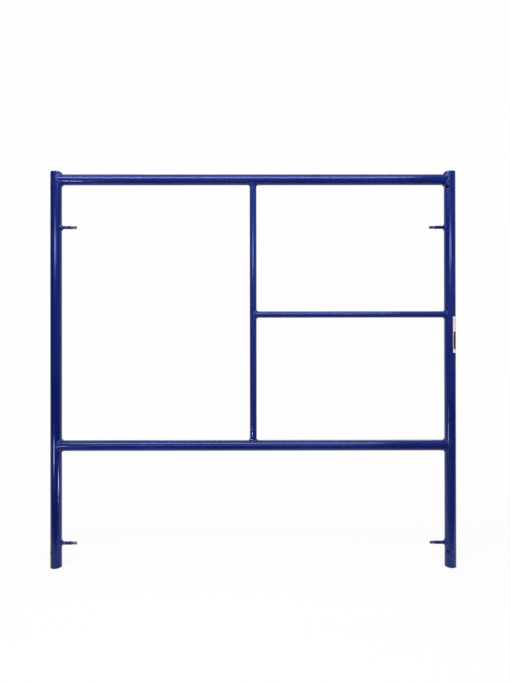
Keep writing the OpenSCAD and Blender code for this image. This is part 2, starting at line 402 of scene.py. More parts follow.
def opaque(colour):
    """A colour with its fourth number, or the socket that it is."""
    if isinstance(colour, Socket):
        return colour
    return (*colour, 1.0)


def new_finish(name):
    """A new material."""
    return Finish(bpy.data.materials.new(name))


def scuffs(finish, place):
    """Thin straight scratches in a few directions, in scattered patches."""
    marks = 0
    for turn in SCRATCH_TURNS:
        sockets = {"Vector": place, "Rotation": turn, "Scale": SCRATCH}
        lines = finish.node("ShaderNodeMapping", {"vector_type": "TEXTURE"}, sockets)
        marks = finish.noise(lines, scale=1.0, detail=0.0).rise(0.75, 0.82) + marks
    patches = finish.noise(place, scale=11.0, detail=2.0).rise(0.55, 0.7)
    return marks.rise(0.0, 1.0) * patches


def enamel(paint, name, thinness=0.0, wear=0.0, film=1.0, end_wear=0.0, post_x=None):
    """Glossy blue enamel: an uneven film with orange peel, dust on top, fine scuffs, and chips to the steel.

    thinness pales the whole film, wear adds chips all over, film makes the surface less even, and end_wear
    adds chips at the ends of a post that stands at post_x, and round its pin holes.
    """
    finish = new_finish(name)
    place = finish.place()
    cloud = finish.noise(place, scale=2.6, detail=4.0, roughness=0.6)
    mottle = finish.noise(place, scale=60.0, detail=3.0)
    thin = (cloud * 0.7 + mottle * 0.3 + thinness).rise(0.3, 0.7)
    blue = finish.mix(thin, paint.deep_blue, paint.bright_blue)
    scuff = scuffs(finish, place)
    blue = finish.mix(scuff * 0.45, blue, paint.primer)
    normal = finish.node("ShaderNodeNewGeometry", output="Normal")
    upward = finish.along(normal, "Z").rise(0.35, 0.95)
    specks = finish.noise(place, scale=520.0, detail=2.0, roughness=0.6).rise(0.5, 0.7)
    dust = upward * specks * finish.noise(place, scale=14.0, detail=3.0).rise(0.35, 0.7)
    blue = finish.mix(dust * 0.2, blue, paint.dust)
    height = finish.along(place, "Z")
    ends = height.rise(FOOT_RUB, 0.0) + height.rise(posts_top() - TOP_RUB, posts_top())
    chance = finish.noise(place, scale=230.0, detail=4.0, roughness=0.62) + ends * end_wear + wear
    if post_x is not None:
        chance = chance + pin_rub(finish, place, post_x) * end_wear
    chip = chance.rise(0.735, 0.755)
    colour = finish.mix(chip, blue, paint.steel)
    fine_peel = finish.noise(place, scale=380.0, detail=1.5, roughness=0.4)
    wide_peel = finish.noise(place, scale=95.0, detail=2.0)
    relief = finish.bump(fine_peel + wide_peel * (0.6 * film), paint.peel)
    relief = finish.bump(1 - chip, paint.thickness, relief)
    clean = paint.roughness - 0.025 + 0.05 * (film - 1)
    rough = dust * 0.3 + scuff * 0.25 + mottle * 0.05 + chip * 0.25 + clean
    return finish.surface(
        {
            "Base Color": colour,
            "Roughness": rough,
            "Metallic": chip * 0.8,
            "Normal": relief,
            "IOR": 1.52,
            "Specular Tint": opaque(paint.gloss),
        }
    )


def posts_top():
    """Height of the tops of the posts."""
    return bpy.context.scene.scaffold_tubes.post_height


def pin_rub(finish, place, post_x):
    """1 at the edges of a post's pin holes, which lie at 45 degrees to the frame's plane, and 0 beyond."""
    tubes = bpy.context.scene.scaffold_tubes
    hole_r = tubes.pin_hole_d / 2
    aside = (finish.along(place, "X") - post_x - finish.along(place, "Y")) * math.sqrt(0.5)
    middle = tubes.post_height / 2
    from_middle = finish.along(place, "Z") - middle
    above = abs(from_middle) - (middle - tubes.pin_hole_from_end)
    away = aside * aside + above * above
    return away.rise((hole_r + HOLE_RUB) ** 2, hole_r**2)


def bare_bore(metals, paint, name):
    """The inside of a tube: mill scale with rust blooms, and blue overspray just inside the ends."""
    finish = new_finish(name)
    place = finish.place()
    bloom = finish.noise(place, scale=38.0, detail=6.0, roughness=0.65)
    grain = finish.noise(finish.stretch(place, (1.0, 1.0, 0.12)), scale=420.0, detail=3.0)
    steel = finish.mix(bloom.rise(0.5, 0.68) * 0.8, metals.scale, metals.rust)
    height = finish.along(place, "Z")
    below_top = posts_top() - height
    reach = height.rise(MIST_REACH, MIST_FULL) + below_top.rise(MIST_REACH, MIST_FULL)
    mist = (reach + finish.noise(place, scale=260.0, detail=3.0) * 0.5).rise(0.7, 1.1)
    colour = finish.mix(mist, steel, paint.deep_blue)
    return finish.surface(
        {
            "Base Color": colour,
            "Roughness": bloom * 0.3 + 0.45 - mist * 0.15,
            "Metallic": (1 - mist) * 0.5,
            "Normal": finish.bump(bloom + grain * 0.6, 0.00008),
        }
    )


def shaded_hole_wall(metals, paint, name):
    """The wall of a pin hole, where pins have rubbed the enamel to patches: between them lies a near-black
    that stands for dark grease and for painted shade in the hole.
    """
    finish = new_finish(name)
    place = finish.place()
    rub = finish.noise(place, scale=420.0, detail=4.0, roughness=0.6)
    # Painted shade: where the rub noise is low the wall takes the near-black grime colour, which stands for
    # grease and for the shade in the hole
    colour = finish.mix(rub.rise(0.6, 0.68), metals.grime_and_hole_shade, paint.deep_blue)
    colour = finish.mix(rub.rise(0.36, 0.28) * 0.4, colour, metals.scale)
    return finish.surface(
        {
            "Base Color": colour,
            "Roughness": rub * 0.3 + 0.4,
            "Metallic": rub.rise(0.4, 0.3) * 0.5,
            "Normal": finish.bump(rub, 0.00006),
        }
    )


def zinc(metals, name, tarnish=0.0):
    """Dull zinc plating: soft pale and dark patches, fine brushing, dirt in spots and small bright nicks."""
    finish = new_finish(name)
    place = finish.place()
    patch = finish.noise(place, scale=210.0, detail=4.0, roughness=0.6)
    brushing = finish.noise(finish.stretch(place, (0.08, 1.0, 1.0)), scale=3200.0, detail=2.0)
    plating = finish.mix(patch.rise(0.38 + tarnish, 0.66 + tarnish), metals.zinc_dark, metals.zinc_pale)
    dirt = finish.noise(place, scale=620.0, detail=4.0, roughness=0.65).rise(0.55, 0.7)
    colour = finish.mix(dirt * 0.7, plating, metals.grime_and_hole_shade)
    nick = finish.noise(place, scale=900.0, detail=2.0, roughness=0.5).rise(0.72, 0.78)
    colour = finish.mix(nick * 0.6, colour, metals.nick)
    return finish.surface(
        {
            "Base Color": colour,
            "Roughness": dirt * 0.25 + brushing * 0.16 + (metals.roughness - 0.08) - nick * 0.1,
            "Metallic": 1 - dirt * 0.5,
            "Normal": finish.bump(brushing * 0.4 + patch, 0.00004),
        }
    )


# Mesh helpers


class Skin:
    """Points and faces of one piece, gathered ring by ring.

    Each point of a tube has a spot as well, its angle and its distance along the unrolled wall, for the
    UV map that the tube is unrolled on. girth is the length round such a tube.
    """

    def __init__(self, girth=None):
        self.girth = girth
        self.points = []
        self.spots = []
        self.twins = {}
        self.faces = []
        self.slots = []

    def ring(self, points, spots=None):
        """Adds points, with their spots if they have any, and returns their numbers."""
        first = len(self.points)
        self.points.extend(points)
        self.spots.extend(spots or [None] * len(points))
        return list(range(first, len(self.points)))

    def again(self, ring, spots):
        """The points of a ring once more, with other spots, where the map is cut."""
        copies = self.ring([self.points[i] for i in ring], spots)
        self.twins.update(zip(copies, ring))
        return copies

    def face(self, corners, slot=0):
        """Adds a face that takes its finish from a material slot."""
        self.faces.append(tuple(corners))
        self.slots.append(slot)

    def bridge(self, first, second, slot=0, closed=True):
        """Joins two rings with quads."""
        count = len(first)
        for i in range(count if closed else count - 1):
            j = (i + 1) % count
            self.face((first[i], first[j], second[j], second[i]), slot)

    def chain(self, rings, slots, closed=False):
        """Joins each ring to the next, and the last to the first if closed."""
        ends = rings[1:] + rings[:1] if closed else rings[1:]
        for first, second, slot in zip(rings, ends, slots):
            self.bridge(first, second, slot)

    def piece(self, name, finishes, replaced=None, slot=PAINT_SLOT, placed=None):
        """Makes the object, which rides on the frame and stands for a CAD node if one is named."""
        faces = [[self.twins.get(corner, corner) for corner in face] for face in self.faces]
        used = sorted({corner for face in faces for corner in face})
        place_of = {old: new for new, old in enumerate(used)}
        points = [self.points[old] for old in used]
        if placed is not None:
            points = [placed @ point for point in points]
        faces = [[place_of[corner] for corner in face] for face in faces]
        mesh = bpy.data.meshes.new(name)
        mesh.from_pydata(points, [], faces)
        for finish in finishes:
            mesh.materials.append(finish)
        mesh.polygons.foreach_set("material_index", self.slots)
        mesh.polygons.foreach_set("use_smooth", [True] * len(faces))
        mesh.set_sharp_from_angle(angle=SHARP_TURN)
        if self.girth is not None:
            self.unroll(mesh)
        mesh.update()
        piece = bpy.data.objects.new(name, mesh)
        bpy.context.scene.collection.objects.link(piece)
        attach(piece, BODY)
        if replaced is not None:
            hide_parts(replaced)
        return piece

    def unroll(self, mesh):
        """Lays a tube's wall out flat in a UV map, cut into bands that stand side by side."""
        flat = []
        for face in self.faces:
            start = self.spots[face[0]][0]
            spots = [self.spots[corner] for corner in face]
            flat.append([((a - start + math.pi) % math.tau - math.pi + start, far) for a, far in spots])
        middles = [sum(far for _, far in spots) / len(spots) for spots in flat]
        low = min(middles)
        reach = max(middles) - low
        count = round(math.sqrt(reach / self.girth))
        bands = [min(int((middle - low) / reach * count), count - 1) for middle in middles]
        starts = [math.inf] * count
        ends = [-math.inf] * count
        for band, spots in zip(bands, flat):
            starts[band] = min(starts[band], min(far for _, far in spots))
            ends[band] = max(ends[band], max(far for _, far in spots))
        tallest = max(end - start for start, end in zip(starts, ends))
        room = 1 - 2 * MAP_MARGIN
        places = []
        for band, spots in zip(bands, flat):
            for angle, far in spots:
                places.append((band + MAP_MARGIN + room * angle / math.tau) / count)
                places.append(MAP_MARGIN + room * (far - starts[band]) / tallest)
        mesh.uv_layers.new(name=BAKE_MAP).data.foreach_set("uv", places)


def turn_points(radius, height, count):
    """A level circle of points round the Z axis."""
    angles = [math.tau * i / count for i in range(count)]
    return [Vector((radius * math.cos(a), radius * math.sin(a), height)) for a in angles]


def turn_spots(far, count):
    """The spots of such a circle, at a distance along the unrolled wall."""
    return [(math.tau * i / count, far) for i in range(count)]


def on_wall(radius, spots):
    """Points on a round wall, from their angles and heights."""
    return [Vector((radius * math.cos(a), radius * math.sin(a), z)) for a, z in spots]


def blend(first, second, share):
    """What lies between two values, a share of the way from the first."""
    return first + (second - first) * share


# Posts


def rounded_edge(tubes):
    """Radius of a post's rounded edges, the set-back at their middle, and half the length round them."""
    edge = tubes.post_edge
    return edge, edge * (1 - math.sqrt(0.5)), edge * math.pi / 4


def patch_step(tubes):
    """Height of a row of quads in the patch round a pin hole."""
    return tubes.pin_hole_d * PATCH_REACH / PATCH_ROWS


def post_rows(tubes):
    """Heights of the rows of quads on a post's walls, and the rows at the middle of each pin hole."""
    edge = tubes.post_edge
    step = patch_step(tubes)
    low = tubes.pin_hole_from_end
    high = tubes.post_height - tubes.pin_hole_from_end
    beside = [step * k for k in range(-PATCH_ROWS, PATCH_ROWS + 1)]
    first = low + beside[-1]
    last = high + beside[0]
    heights = [edge, 4 * edge]
    middles = [len(heights) + PATCH_ROWS]
    heights += [low + rise for rise in beside]
    heights += [blend(first, last, k / POST_SPANS) for k in range(1, POST_SPANS)]
    middles.append(len(heights) + PATCH_ROWS)
    heights += [high + rise for rise in beside]
    heights += [tubes.post_height - 4 * edge, tubes.post_height - edge]
    return heights, middles


def patch_steps():
    """Columns and rows round a pin hole's patch, counted from its middle, anticlockwise from outside."""
    steps = [(k, -PATCH_ROWS) for k in range(-PATCH_COLUMNS, PATCH_COLUMNS)]
    steps += [(PATCH_COLUMNS, k) for k in range(-PATCH_ROWS, PATCH_ROWS)]
    steps += [(k, PATCH_ROWS) for k in range(PATCH_COLUMNS, -PATCH_COLUMNS, -1)]
    steps += [(-PATCH_COLUMNS, k) for k in range(PATCH_ROWS, -PATCH_ROWS, -1)]
    return steps


def inside_far(tubes, height):
    """How far along the unrolled wall a height on the inside of a post is drawn."""
    return tubes.post_height + 4 * tubes.post_wall + INSIDE_SHARE * (tubes.post_height - height)


def post_wall(skin, tubes, heights, holes, outside):
    """A round wall of quads that leaves out the patches round the pin holes."""
    radius = tubes.post_d / 2 if outside else tubes.post_d / 2 - tubes.post_wall
    rows = []
    for z in heights:
        far = z if outside else inside_far(tubes, z)
        rows.append(skin.ring(turn_points(radius, z, AROUND_POST), turn_spots(far, AROUND_POST)))
    left_out = set()
    for column, row in holes:
        for i in range(column - PATCH_COLUMNS, column + PATCH_COLUMNS):
            for j in range(row - PATCH_ROWS, row + PATCH_ROWS):
                left_out.add((i % AROUND_POST, j))
    for j in range(len(rows) - 1):
        for i in range(AROUND_POST):
            if (i, j) in left_out:
                continue
            k = (i + 1) % AROUND_POST
            corners = (rows[j][i], rows[j][k], rows[j + 1][k], rows[j + 1][i])
            if outside:
                skin.face(corners, 0)
            else:
                skin.face(corners[::-1], 1)
    return rows


def hole_rims(tubes, column, height):
    """Gives a function for the outline of a pin hole on a wall, at the steps round its patch."""
    outer = tubes.post_d / 2
    turn = math.tau / AROUND_POST
    rise = patch_step(tubes)
    steps = patch_steps()
    bearings = [math.atan2(j * rise, outer * i * turn) for i, j in steps]
    border = [((column + i) * turn, height + j * rise) for i, j in steps]

    def outline(radius, hole_r, share=0.0):
        """Angles and heights of the outline of radius hole_r, drawn out to the border by a share."""
        spots = []
        for bearing, (far_angle, far_height) in zip(bearings, border):
            angle = column * turn + math.asin(hole_r * math.cos(bearing) / radius)
            z = height + hole_r * math.sin(bearing)
            spots.append((blend(angle, far_angle, share), blend(z, far_height, share)))
        return spots

    return steps, outline


def pin_hole(skin, tubes, column, row, heights, outer_rows, inner_rows):
    """Rings of quads from the outer wall, over the rounded edges and through the hole, to the inner wall.

    On the map, what lies in the hole is drawn as smaller rings inside its outline, and is cut at its inner
    edge.
    """
    outer = tubes.post_d / 2
    inner = outer - tubes.post_wall
    hole_r = tubes.pin_hole_d / 2
    edge, soft, bend = rounded_edge(tubes)
    rim = hole_r + edge
    steps, outline = hole_rims(tubes, column, heights[row])

    def outside_ring(radius, reach, drawn, share=0.0):
        """A ring that the map shows on the outer wall, as an outline of radius drawn."""
        return skin.ring(on_wall(radius, outline(radius, reach, share)), outline(outer, drawn, share))

    def inside_spots(drawn, share=0.0):
        """Spots of an outline of radius drawn on the inner wall."""
        return [(angle, inside_far(tubes, z)) for angle, z in outline(inner, drawn, share)]

    def inside_ring(radius, reach, drawn, share=0.0):
        """A ring that the map shows on the inner wall."""
        return skin.ring(on_wall(radius, outline(radius, reach, share)), inside_spots(drawn, share))

    def border(rows):
        """The points of a wall round the patch."""
        return [rows[row + j][(column + i) % AROUND_POST] for i, j in steps]

    depth = tubes.post_wall - 2 * edge
    rings = [border(outer_rows)]
    rings += [outside_ring(outer, rim, rim, share) for share in PATCH_SHARES]
    rings.append(outside_ring(outer, rim, rim))
    rings.append(outside_ring(outer - soft, hole_r + soft, rim - bend))
    rings.append(outside_ring(outer - edge, hole_r, rim - 2 * bend))
    painted = len(rings) - 1
    rings.append(outside_ring(inner + edge, hole_r, rim - 2 * bend - depth))
    skin.chain(rings, [0] * painted + [2])
    rings = [skin.again(rings[-1], inside_spots(rim - 2 * bend))]
    rings.append(inside_ring(inner + soft, hole_r + soft, rim - bend))
    rings.append(inside_ring(inner, rim, rim))
    rings += [inside_ring(inner, rim, rim, share) for share in reversed(PATCH_SHARES)]
    rings.append(border(inner_rows))
    skin.chain(rings, [0, 0] + [1] * len(PATCH_SHARES) + [1])


def post_rim(skin, tubes, outer_row, inner_row, end, upward):
    """The rounded, flat end of a post between its outer and inner walls."""
    edge, soft, bend = rounded_edge(tubes)
    flat = tubes.post_wall - 2 * edge
    outer = tubes.post_d / 2
    inner = outer - tubes.post_wall
    way = 1 if upward else -1
    profile = [
        (outer - soft, end - way * soft, bend),
        (outer - edge, end, 2 * bend),
        (inner + edge, end, 2 * bend + flat),
        (inner + soft, end - way * soft, 3 * bend + flat),
    ]
    foot = end - way * edge
    rings = [outer_row]
    for radius, z, run in profile:
        spots = turn_spots(foot + way * run, AROUND_POST)
        rings.append(skin.ring(turn_points(radius, z, AROUND_POST), spots))
    rings.append(skin.again(inner_row, turn_spots(foot + way * (4 * bend + flat), AROUND_POST)))
    if not upward:
        rings.reverse()
    skin.chain(rings, [0] * len(rings))


def post_skin(tubes):
    """A whole post: both walls, the pin holes and the two ends."""
    skin = Skin(math.pi * tubes.post_d)
    heights, middles = post_rows(tubes)
    holes = [(column, row) for column in HOLE_COLUMNS for row in middles]
    outer_rows = post_wall(skin, tubes, heights, holes, True)
    inner_rows = post_wall(skin, tubes, heights, holes, False)
    for column, row in holes:
        pin_hole(skin, tubes, column, row, heights, outer_rows, inner_rows)
    post_rim(skin, tubes, outer_rows[-1], inner_rows[-1], tubes.post_height, True)
    post_rim(skin, tubes, outer_rows[0], inner_rows[0], 0.0, False)
    return skin


# Coped tubes


def top_ledger_z(tubes):
    """Height of the top ledger's centreline."""
    return tubes.post_height - tubes.top_ledger_drop


def coped_ring(radius, run_r, middle, direction, around):
    """The end of a tube along +X that is cut to lie on a run tube along Z."""
    points = []
    for i in range(around):
        angle = math.tau * i / around
        y = radius * math.cos(angle)
        z = radius * math.sin(angle)
        points.append(Vector((middle + direction * math.sqrt(run_r**2 - y**2), y, z)))
    return points


def coped_skin(radius, wall, length, run_radii, around, spans):
    """A hollow tube along +X between the axes of two run tubes, cut to lie on both."""
    skin = Skin(math.tau * radius)
    outer_start = coped_ring(radius, run_radii[0], 0.0, 1, around)
    outer_end = coped_ring(radius, run_radii[1], length, -1, around)
    rings = []
    for k in range(spans + 1):
        points = [blend(a, b, k / spans) for a, b in zip(outer_start, outer_end)]
        rings.append(skin.ring(points, turn_spots(length * k / spans, around)))
    inner_end = coped_ring(radius - wall, run_radii[1], length, -1, around)
    inner_start = coped_ring(radius - wall, run_radii[0], 0.0, 1, around)
    far = length + wall
    rings.append(skin.ring(inner_end, turn_spots(far, around)))
    far += INSIDE_SHARE * length
    rings.append(skin.ring(inner_start, turn_spots(far, around)))
    rings.append(skin.again(rings[0], turn_spots(far + wall, around)))
    skin.chain(rings, [0] * spans + [1, 1, 1])
    return skin


# Weld beads


class WeldPlace:
    """One bead: its node, its two tubes, its legs, where it lies, its unevenness and the size of its ripples.

    shank_r is the branch's radius beyond the bead, where that is less than at the bead.
    """

    def __init__(self, node, radii, legs, placed, shift, scale=1.0, shank_r=None):
        self.node = node
        self.branch_r, self.run_r = radii
        self.shank_r = shank_r or self.branch_r
        self.branch_leg, self.run_leg = legs
        self.placed = placed
        self.shift = math.radians(shift)
        self.scale = scale


def weld_places(tubes, welds):
    """The twelve beads, each drawn round a branch along +X that stands on a run along Z."""
    half = tubes.frame_width / 2
    post_r = tubes.post_d / 2
    ledger_r = tubes.ledger_d / 2
    upright_r = tubes.upright_d / 2
    cross_r = tubes.cross_strut_d / 2
    top_z = top_ledger_z(tubes)
    stud_heights = {"upper": tubes.lower_stud_z + tubes.stud_spacing, "lower": tubes.lower_stud_z}

    def at_post(side, z):
        """Where a branch stands on a post, so that it points into the frame."""
        if side == "left":
            return Matrix.Translation((-half, 0, z))
        return Matrix.Translation((half, 0, z)) @ Matrix.Rotation(math.pi, 4, "Z")

    def on_ledger(z, turn):
        """Where the upright strut stands on a ledger, turned up or down."""
        return Matrix.Translation((0, 0, z)) @ Matrix.Rotation(turn, 4, "Y")

    ledger_legs = (welds.ledger_leg, welds.ledger_leg)
    strut_legs = (welds.strut_leg, welds.strut_leg)
    stud_legs = (welds.stud_leg, welds.stud_spread)
    places = []
    for name, z, shifts in (("top", top_z, (0, 75)), ("bottom", tubes.bottom_ledger_z, (130, 220))):
        for side, shift in zip(SIDES, shifts):
            node = f"weld_{name}_ledger_{side}"
            places.append(WeldPlace(node, (ledger_r, post_r), ledger_legs, at_post(side, z), shift))
    for name, z, turn, shift in (
        ("top", top_z, math.pi / 2, 40),
        ("bottom", tubes.bottom_ledger_z, -math.pi / 2, 165),
    ):
        node = f"weld_upright_{name}"
        places.append(WeldPlace(node, (upright_r, ledger_r), strut_legs, on_ledger(z, turn), shift))
    inner = Matrix.Translation((0, 0, tubes.cross_strut_z))
    outer = at_post("right", tubes.cross_strut_z)
    places.append(WeldPlace("weld_cross_strut_inner", (cross_r, upright_r), strut_legs, inner, 200))
    places.append(WeldPlace("weld_cross_strut_outer", (cross_r, post_r), strut_legs, outer, 310))
    radii = (tubes.stud_foot_d / 2, post_r)
    shank_r = tubes.stud_d / 2
    for corner, shift in zip(CORNERS, (20, 190, 110, 280)):
        height, side = corner.split("_")
        node = f"weld_stud_{corner}"
        placed = at_post(side, stud_heights[height])
        places.append(WeldPlace(node, radii, stud_legs, placed, shift, scale=0.7, shank_r=shank_r))
    return places


def uneven(welds, angle, shift):
    """How much wider or narrower a hand-laid bead is at an angle round its branch."""
    wave = 0.6 * math.sin(3 * angle + shift) + 0.4 * math.sin(7 * angle + 2 * shift)
    return 1 + welds.unevenness * wave


def bead_cut(welds, place, angle):
    """A bead's section at one angle: three points of its curved outside, its root and its outward side."""
    leg_a = place.branch_leg * uneven(welds, angle, place.shift)
    leg_b = place.run_leg * uneven(welds, angle, place.shift + math.pi / 2)
    cosine = math.cos(angle)
    sine = math.sin(angle)
    azimuth = math.asin(place.branch_r * cosine / place.run_r)
    root = Vector((place.run_r * math.cos(azimuth), place.branch_r * cosine, place.branch_r * sine))
    branch_normal = Vector((0, cosine, sine))
    run_normal = Vector((math.cos(azimuth), math.sin(azimuth), 0))
    outward = (branch_normal + run_normal).normalized()
    flatness = branch_normal.dot(run_normal)
    toe_azimuth = azimuth + leg_b * cosine / place.run_r
    sunk_r = place.run_r - BEAD_SINK
    branch_toe = root + Vector((leg_a, 0, 0)) - BEAD_SINK * branch_normal
    run_toe = Vector(
        (
            sunk_r * math.cos(toe_azimuth),
            sunk_r * math.sin(toe_azimuth),
            (place.branch_r + leg_b) * sine,
        )
    )
    throat = BEAD_THROAT * (leg_a + leg_b) / 2
    crown = root + outward * (throat * (1 - flatness) + welds.cap * flatness)
    control = 2 * crown - (branch_toe + run_toe) / 2
    return branch_toe, control, run_toe, root, outward


def ripple(welds, place, angle, across, count):
    """Depth below the bead's full section: sharp valleys between bowed ripples, and a dip at each stop."""
    bow = RIPPLE_BOW * (2 * across - 1) ** 2
    wander = 0.3 * math.sin(2 * angle + place.shift) + 0.18 * math.sin(5 * angle + 3 * place.shift)
    wave = abs(math.sin(math.pi * (count * angle / math.tau + bow + wander)))
    depth = welds.ripple_depth * (1 - wave) ** VALLEY_SHARPNESS
    for stop in BEAD_STOPS:
        away = (angle - (place.shift + stop) + math.pi) % math.tau - math.pi
        depth += welds.crater_depth * math.exp(-((away / CRATER_WIDTH) ** 2))
    return place.scale**2 * depth * math.sin(math.pi * across) ** 0.8


def bead_skin(welds, place):
    """A closed ring: the rippled outside from toe to toe, then the root under the tubes."""
    skin = Skin()
    round_it = math.tau * (place.branch_r + 0.3 * place.branch_leg)
    count = round(round_it / (welds.ripple_pitch * place.scale))
    stations = count * RIPPLE_STEPS
    sections = []
    for k in range(stations):
        angle = math.tau * k / stations
        first, control, last, root, outward = bead_cut(welds, place, angle)
        section = []
        for i in range(CROWN_STEPS + 1):
            s = i / CROWN_STEPS
            point = (1 - s) ** 2 * first + 2 * s * (1 - s) * control + s**2 * last
            section.append(point - outward * ripple(welds, place, angle, s, count))
        section.append(root - BEAD_ROOT * outward)
        sections.append(skin.ring(section))
    skin.chain(sections, [0] * stations, closed=True)
    return skin


def drop(skin, base, normal, radius):
    """One spatter drop: a closed dome that sits a little way into its tube."""
    side = normal.orthogonal().normalized()
    other = normal.cross(side)
    rings = []
    for lift, reach in DROP_PROFILE:
        ring = []
        for i in range(DROP_CORNERS):
            angle = math.tau * i / DROP_CORNERS
            out = side * math.cos(angle) + other * math.sin(angle)
            ring.append(base + out * (radius * reach) + normal * (radius * DROP_HEIGHT * lift))
        rings.append(skin.ring(ring))
    skin.chain(rings, [0] * len(rings))
    skin.face(rings[-1])
    skin.face(rings[0][::-1])


def spatter(skin, welds, place, seed):
    """Drops thrown on the branch and on the run, just beyond the bead's toes."""
    chance = random.Random(seed)
    for k in range(welds.drops):
        angle = chance.uniform(0, math.tau)
        away = DROP_NEAR + DROP_SCATTER * chance.random() ** 2
        radius = welds.drop_r * blend(DROP_SMALLEST, 1, chance.random() ** 2)
        cosine = math.cos(angle)
        sine = math.sin(angle)
        reach = place.branch_leg * (1 + welds.unevenness) + away
        if k % 2:
            normal = Vector((0, cosine, sine))
            start = math.sqrt(place.run_r**2 - (place.branch_r * cosine) ** 2)
            base = Vector((start + reach, place.shank_r * cosine, place.shank_r * sine))
        else:
            spread = place.run_leg * (1 + welds.unevenness) + away
            azimuth = math.asin(place.branch_r * cosine / place.run_r) + spread * cosine / place.run_r
            normal = Vector((math.cos(azimuth), math.sin(azimuth), 0))
            base = place.run_r * normal + Vector((0, 0, (place.branch_r + spread) * sine))
        if (place.placed @ base).z < posts_top() - DROP_MARGIN:
            drop(skin, base, normal, radius)


# Operators


class SCAFFOLD_OT_posts(bpy.types.Operator):
    """Builds the two posts, with rounded ends and their pin holes"""

    bl_idname = "scaffold.posts"
    bl_label = "Posts"

    def execute(self, context):
        tubes = context.scene.scaffold_tubes
        paint = context.scene.scaffold_paint
        metals = context.scene.scaffold_metal
        bore = bare_bore(metals, paint, "post_bore")
        # The walls of the pin holes get a near-black finish that is partly painted shade
        hole_shade_finish = shaded_hole_wall(metals, paint, "post_pin_hole")
        for side, way, thinness in zip(SIDES, (-1, 1), (-0.12, 0.03)):
            post_x = way * tubes.frame_width / 2
            outside = enamel(paint, f"{side}_post_enamel", thinness, end_wear=0.2, post_x=post_x)
            placed = Matrix.Translation((post_x, 0, 0))
            node = f"{side}_post"
            post_skin(tubes).piece(f"{node}_tube", [outside, bore, hole_shade_finish], node, placed=placed)
        return {"FINISHED"}


class SCAFFOLD_OT_ledgers(bpy.types.Operator):
    """Builds the top and bottom ledgers, coped onto the posts"""

    bl_idname = "scaffold.ledgers"
    bl_label = "Ledgers"

    def execute(self, context):
        tubes = context.scene.scaffold_tubes
        paint = context.scene.scaffold_paint
        finishes = [
            enamel(paint, "ledger_enamel"),
            bare_bore(context.scene.scaffold_metal, paint, "ledger_bore"),
        ]
        ledger_r = tubes.ledger_d / 2
        length = tubes.frame_width
        runs = (tubes.post_d / 2, tubes.post_d / 2)
        heights = {"top_ledger": top_ledger_z(tubes), "bottom_ledger": tubes.bottom_ledger_z}
        for node, z in heights.items():
            skin = coped_skin(ledger_r, tubes.ledger_wall, length, runs, AROUND_LEDGER, LEDGER_SPANS)
            placed = Matrix.Translation((-length / 2, 0, z))
            skin.piece(f"{node}_tube", finishes, node, placed=placed)
        return {"FINISHED"}


class SCAFFOLD_OT_struts(bpy.types.Operator):
    """Builds the upright strut and the cross strut, coped onto their neighbours"""

    bl_idname = "scaffold.struts"
    bl_label = "Struts"

    def execute(self, context):
        tubes = context.scene.scaffold_tubes
        paint = context.scene.scaffold_paint
        finishes = [
            enamel(paint, "strut_enamel", thinness=0.14),
            bare_bore(context.scene.scaffold_metal, paint, "strut_bore"),
        ]
        ledger_r = tubes.ledger_d / 2
        upright_r = tubes.upright_d / 2
        rise = top_ledger_z(tubes) - tubes.bottom_ledger_z
        runs = (ledger_r, ledger_r)
        upright = coped_skin(upright_r, tubes.strut_wall, rise, runs, AROUND_STRUT, UPRIGHT_SPANS)
        stood = Matrix.Translation((0, 0, tubes.bottom_ledger_z)) @ Matrix.Rotation(-math.pi / 2, 4, "Y")
        upright.piece("upright_strut_tube", finishes, "upright_strut", placed=stood)
        reach = tubes.frame_width / 2
        runs = (upright_r, tubes.post_d / 2)
        cross_r = tubes.cross_strut_d / 2
        cross = coped_skin(cross_r, tubes.strut_wall, reach, runs, AROUND_STRUT, CROSS_SPANS)
        placed = Matrix.Translation((0, 0, tubes.cross_strut_z))
        cross.piece("cross_strut_tube", finishes, "cross_strut", placed=placed)
        return {"FINISHED"}


class SCAFFOLD_OT_welds(bpy.types.Operator):
    """Builds the weld beads, rippled and with a few spatter drops, under the same enamel"""

    bl_idname = "scaffold.welds"
    bl_label = "Weld beads"

    def execute(self, context):
        tubes = context.scene.scaffold_tubes
        welds = context.scene.scaffold_welds
        finish = enamel(context.scene.scaffold_paint, "weld_enamel", film=2.5)
        for seed, place in enumerate(weld_places(tubes, welds)):
            skin = bead_skin(welds, place)
            spatter(skin, welds, place, seed)
            skin.piece(f"{place.node}_bead", [finish], place.node, placed=place.placed)
        return {"FINISHED"}


def dress(node, finish):
    """Gives a CAD node that stays its finish."""
    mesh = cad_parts[node].data
    mesh.materials.clear()
    mesh.materials.append(finish)


class SCAFFOLD_OT_studs(bpy.types.Operator):
    """Paints the brace studs, which are chipped where braces slide over them"""

    bl_idname = "scaffold.studs"
    bl_label = "Brace studs"

    def execute(self, context):
        finish = enamel(context.scene.scaffold_paint, "stud_enamel", wear=0.03)
        for corner in CORNERS:
            dress(f"stud_{corner}", finish)
        return {"FINISHED"}


class SCAFFOLD_OT_locks(bpy.types.Operator):
    """Gives the flip locks and their rivets a dull zinc plating"""

    bl_idname = "scaffold.locks"
    bl_label = "Flip locks"

    def execute(self, context):
        metals = context.scene.scaffold_metal
        lock_finish = zinc(metals, "lock_zinc", tarnish=0.03)
        rivet_finish = zinc(metals, "rivet_zinc", tarnish=-0.05)
        for corner in CORNERS:
            dress(f"lock_{corner}", lock_finish)
            dress(f"rivet_{corner}", rivet_finish)
        return {"FINISHED"}


